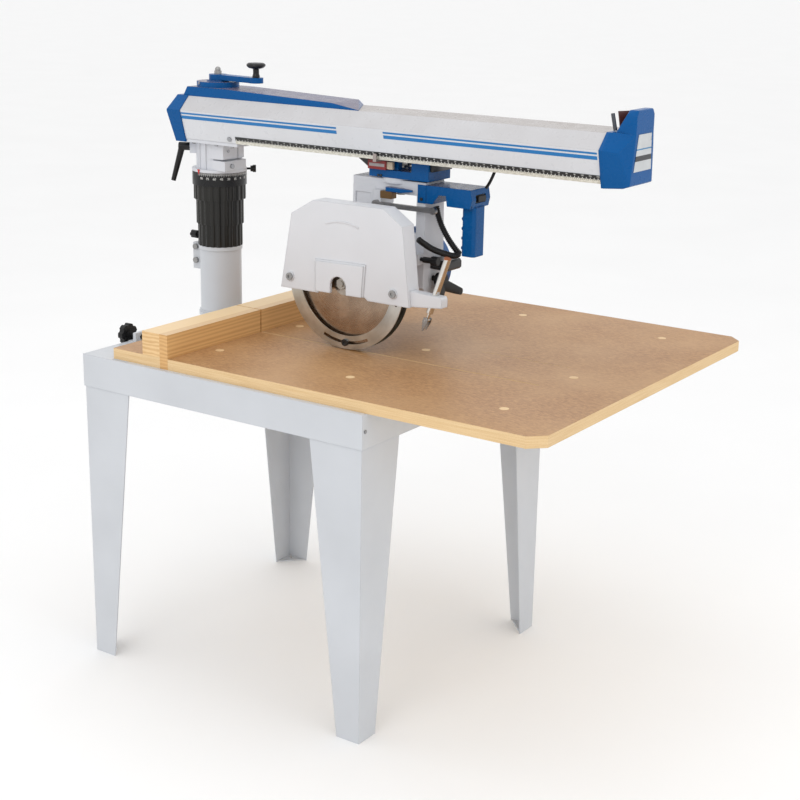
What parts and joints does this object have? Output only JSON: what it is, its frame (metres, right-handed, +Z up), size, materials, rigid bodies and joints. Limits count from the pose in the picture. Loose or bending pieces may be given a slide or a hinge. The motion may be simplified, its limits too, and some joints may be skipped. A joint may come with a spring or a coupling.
{
  "type": "radial arm saw",
  "caption": "Free-standing radial arm saw: steel stand, wooden table with fence, telescopic column, swinging arm, roller carriage, tilting motor with guarded blade.",
  "frame": {"origin": "on the floor at the centre of the four foot holes", "axes": "+Z up, -Y towards the operator, +X to the operator's right; the arm runs along Y and the blade stands in a Y-Z plane"},
  "size_m": [1.0915, 1.449, 1.5076],
  "materials": {
    "powder_coat": "satin",
    "blue_paint": "gloss",
    "black_plastic": "satin",
    "steel": "satin",
    "table_board": "satin",
    "pine": "satin",
    "black_anodised": "satin",
    "hose_rubber": "matte",
    "brass": "satin",
    "scale_metal": "satin",
    "winding": "gloss",
    "motor_paint": "satin",
    "blade_steel": "polished",
    "guard_steel": "satin",
    "ground_steel": "polished"
  },
  "bodies": {
    "base": {"legs": "powder_coat", "steel_frame": "powder_coat", "table_board": "table_board", "table_plugs": "pine", "rear_board": "table_board", "fence_strip": "pine", "fence_spacers": "pine", "fence_clamp_brackets": "powder_coat", "column_base": "powder_coat", "column_sleeve": "powder_coat", "frame_bolts": "steel", "elevating_nut": "brass", "lower_shroud": "black_plastic"},
    "left_fence_clamp": {"fence_clamp_left": "black_plastic"},
    "column_lock": {"sleeve_lock_knob": "black_plastic"},
    "shroud_stage": {"middle_shroud": "black_plastic"},
    "riser": {"inner_column": "ground_steel", "protractor_ring": "black_anodised", "upper_shroud": "black_plastic"},
    "arm": {"head_casting": "powder_coat", "head_fittings": "steel", "arm_beam": "powder_coat", "guide_rails": "steel", "arm_stripes": "blue_paint", "scale_strips": "scale_metal", "rear_cap": "blue_paint", "front_cap": "blue_paint", "front_fittings": "steel", "top_cover": "blue_paint"},
    "index_pin": {"mitre_index_pin": "black_plastic"},
    "arm_lock": {"arm_clamp_lever": "black_plastic"},
    "crank": {"crank_arm": "blue_paint", "lead_screw": "steel", "crank_nut": "steel"},
    "crank_grip": {"crank_knob": "black_plastic"},
    "carriage": {"carriage_body": "blue_paint", "carriage_fittings": "black_plastic"},
    "wheel_fl": {"roller_front_left": "steel"},
    "wheel_rl": {"roller_rear_left": "steel"},
    "wheel_fr": {"roller_front_right": "steel"},
    "wheel_rr": {"roller_rear_right": "steel"},
    "yoke": {"yoke": "powder_coat", "yoke_fittings": "steel", "handle_bracket": "blue_paint", "cable_hose": "hose_rubber"},
    "yoke_latch": {"swivel_index_lever": "blue_paint"},
    "yoke_clamp": {"swivel_clamp_bar": "steel"},
    "bevel_index": {"bevel_index_knob": "black_plastic"},
    "switch": {"trigger_switch": "black_plastic"},
    "motor": {"motor_housing": "motor_paint", "motor_internals": "winding", "blade_guard": "powder_coat", "guard_screws": "steel"},
    "bevel_lock": {"bevel_handle": "black_plastic"},
    "blade": {"saw_arbor": "steel", "saw_blade": "blade_steel"},
    "ring_left": {"lower_guard_outer": "guard_steel"},
    "ring_right": {"lower_guard_inner": "guard_steel"},
    "kick_rod": {"antikick_rod": "steel"},
    "kick_pawls": {"antikick_pawls": "steel"}
  },
  "joints": [
    {"name": "elevation", "type": "slide", "parent": "base", "child": "riser", "axis": [0, 0, 1], "range_m": [0, 0.12]},
    {"name": "shroud_travel", "type": "slide", "parent": "base", "child": "shroud_stage", "axis": [0, 0, 1], "range_m": [0, 0.06]},
    {"name": "left_clamp_screw", "type": "hinge", "parent": "base", "child": "left_fence_clamp", "pos_m": [-0.237, 0.445, 0.827], "axis": [0, 1, 0], "range_deg": [0, 360]},
    {"name": "column_lock_turn", "type": "hinge", "parent": "base", "child": "column_lock", "pos_m": [0.127, 0.522, 1.029], "axis": [0, 1, 0], "range_deg": [0, 180]},
    {"name": "arm_swing", "type": "hinge", "parent": "riser", "child": "arm", "pos_m": [0.139, 0.452, 1.24], "axis": [0, 0, 1], "range_deg": [-25, 45]},
    {"name": "index_pin_pull", "type": "slide", "parent": "arm", "child": "index_pin", "axis": [0.6521, -0.7581, 0], "range_m": [0, 0.008]},
    {"name": "arm_lock_turn", "type": "hinge", "parent": "arm", "child": "arm_lock", "pos_m": [0.10942, 0.51544, 1.274], "axis": [-0.4226, 0.9063, 0], "range_deg": [-30, 30]},
    {"name": "crank_turn", "type": "hinge", "parent": "arm", "child": "crank", "pos_m": [0.139, 0.452, 1.44], "axis": [0, 0, 1], "range_deg": [0, 5400]},
    {"name": "crank_grip_spin", "type": "hinge", "parent": "crank", "child": "crank_grip", "pos_m": [0.139, 0.32, 1.46], "axis": [0, 0, 1], "continuous": true},
    {"name": "carriage_travel", "type": "slide", "parent": "arm", "child": "carriage", "axis": [0, 1, 0], "range_m": [-0.44, 0.12]},
    {"name": "wheel_fl_roll", "type": "hinge", "parent": "carriage", "child": "wheel_fl", "pos_m": [0.106, -0.235, 1.344], "axis": [0, 0, 1], "range_deg": [-1801, 492]},
    {"name": "wheel_rl_roll", "type": "hinge", "parent": "carriage", "child": "wheel_rl", "pos_m": [0.106, -0.12, 1.344], "axis": [0, 0, 1], "range_deg": [-1801, 492]},
    {"name": "wheel_fr_roll", "type": "hinge", "parent": "carriage", "child": "wheel_fr", "pos_m": [0.172, -0.235, 1.344], "axis": [0, 0, 1], "range_deg": [-492, 1801]},
    {"name": "wheel_rr_roll", "type": "hinge", "parent": "carriage", "child": "wheel_rr", "pos_m": [0.172, -0.12, 1.344], "axis": [0, 0, 1], "range_deg": [-492, 1801]},
    {"name": "yoke_swivel", "type": "hinge", "parent": "carriage", "child": "yoke", "pos_m": [0.139, -0.15, 1.25], "axis": [0, 0, 1], "range_deg": [-90, 90]},
    {"name": "yoke_latch_turn", "type": "hinge", "parent": "yoke", "child": "yoke_latch", "pos_m": [0.086, -0.148, 1.22], "axis": [0, 0, 1], "range_deg": [-25, 0]},
    {"name": "yoke_clamp_turn", "type": "hinge", "parent": "yoke", "child": "yoke_clamp", "pos_m": [0.09, -0.112, 1.187], "axis": [1, 0, 0], "range_deg": [0, 20]},
    {"name": "bevel_index_pull", "type": "slide", "parent": "yoke", "child": "bevel_index", "axis": [0, -1, 0], "range_m": [0, 0.008]},
    {"name": "switch_press", "type": "slide", "parent": "yoke", "child": "switch", "axis": [0, 1, 0], "range_m": [0, 0.003]},
    {"name": "bevel_tilt", "type": "hinge", "parent": "yoke", "child": "motor", "pos_m": [0.139, -0.236, 1.0065], "axis": [0, 1, 0], "range_deg": [0, 18]},
    {"name": "bevel_lock_turn", "type": "hinge", "parent": "motor", "child": "bevel_lock", "pos_m": [0.139, -0.25, 1.0065], "axis": [0, 1, 0], "range_deg": [0, 45]},
    {"name": "blade_spin", "type": "hinge", "parent": "motor", "child": "blade", "pos_m": [0, -0.113, 1.0065], "axis": [1, 0, 0], "continuous": true},
    {"name": "ring_left_lift", "type": "slide", "parent": "motor", "child": "ring_left", "axis": [0, 0, 1], "range_m": [0, 0.03]},
    {"name": "ring_right_lift", "type": "slide", "parent": "motor", "child": "ring_right", "axis": [0, 0, 1], "range_m": [0, 0.03]},
    {"name": "kick_rod_slide", "type": "slide", "parent": "motor", "child": "kick_rod", "axis": [0, -0.3256, 0.9455], "range_m": [-0.05, 0.015]},
    {"name": "kick_pawl_swing", "type": "hinge", "parent": "kick_rod", "child": "kick_pawls", "pos_m": [-0.049, -0.35842, 0.94894], "axis": [1, 0, 0], "range_deg": [-60, 20]}
  ],
  "couplings": [
    {"joint": "shroud_travel", "follows": "elevation", "ratio": 0.5},
    {"joint": "crank_turn", "follows": "elevation", "rad_per_m": 785.4},
    {"joint": "wheel_fl_roll", "follows": "carriage_travel", "rad_per_m": 71.429},
    {"joint": "wheel_rl_roll", "follows": "carriage_travel", "rad_per_m": 71.429},
    {"joint": "wheel_fr_roll", "follows": "carriage_travel", "rad_per_m": -71.429},
    {"joint": "wheel_rr_roll", "follows": "carriage_travel", "rad_per_m": -71.429}
  ]
}
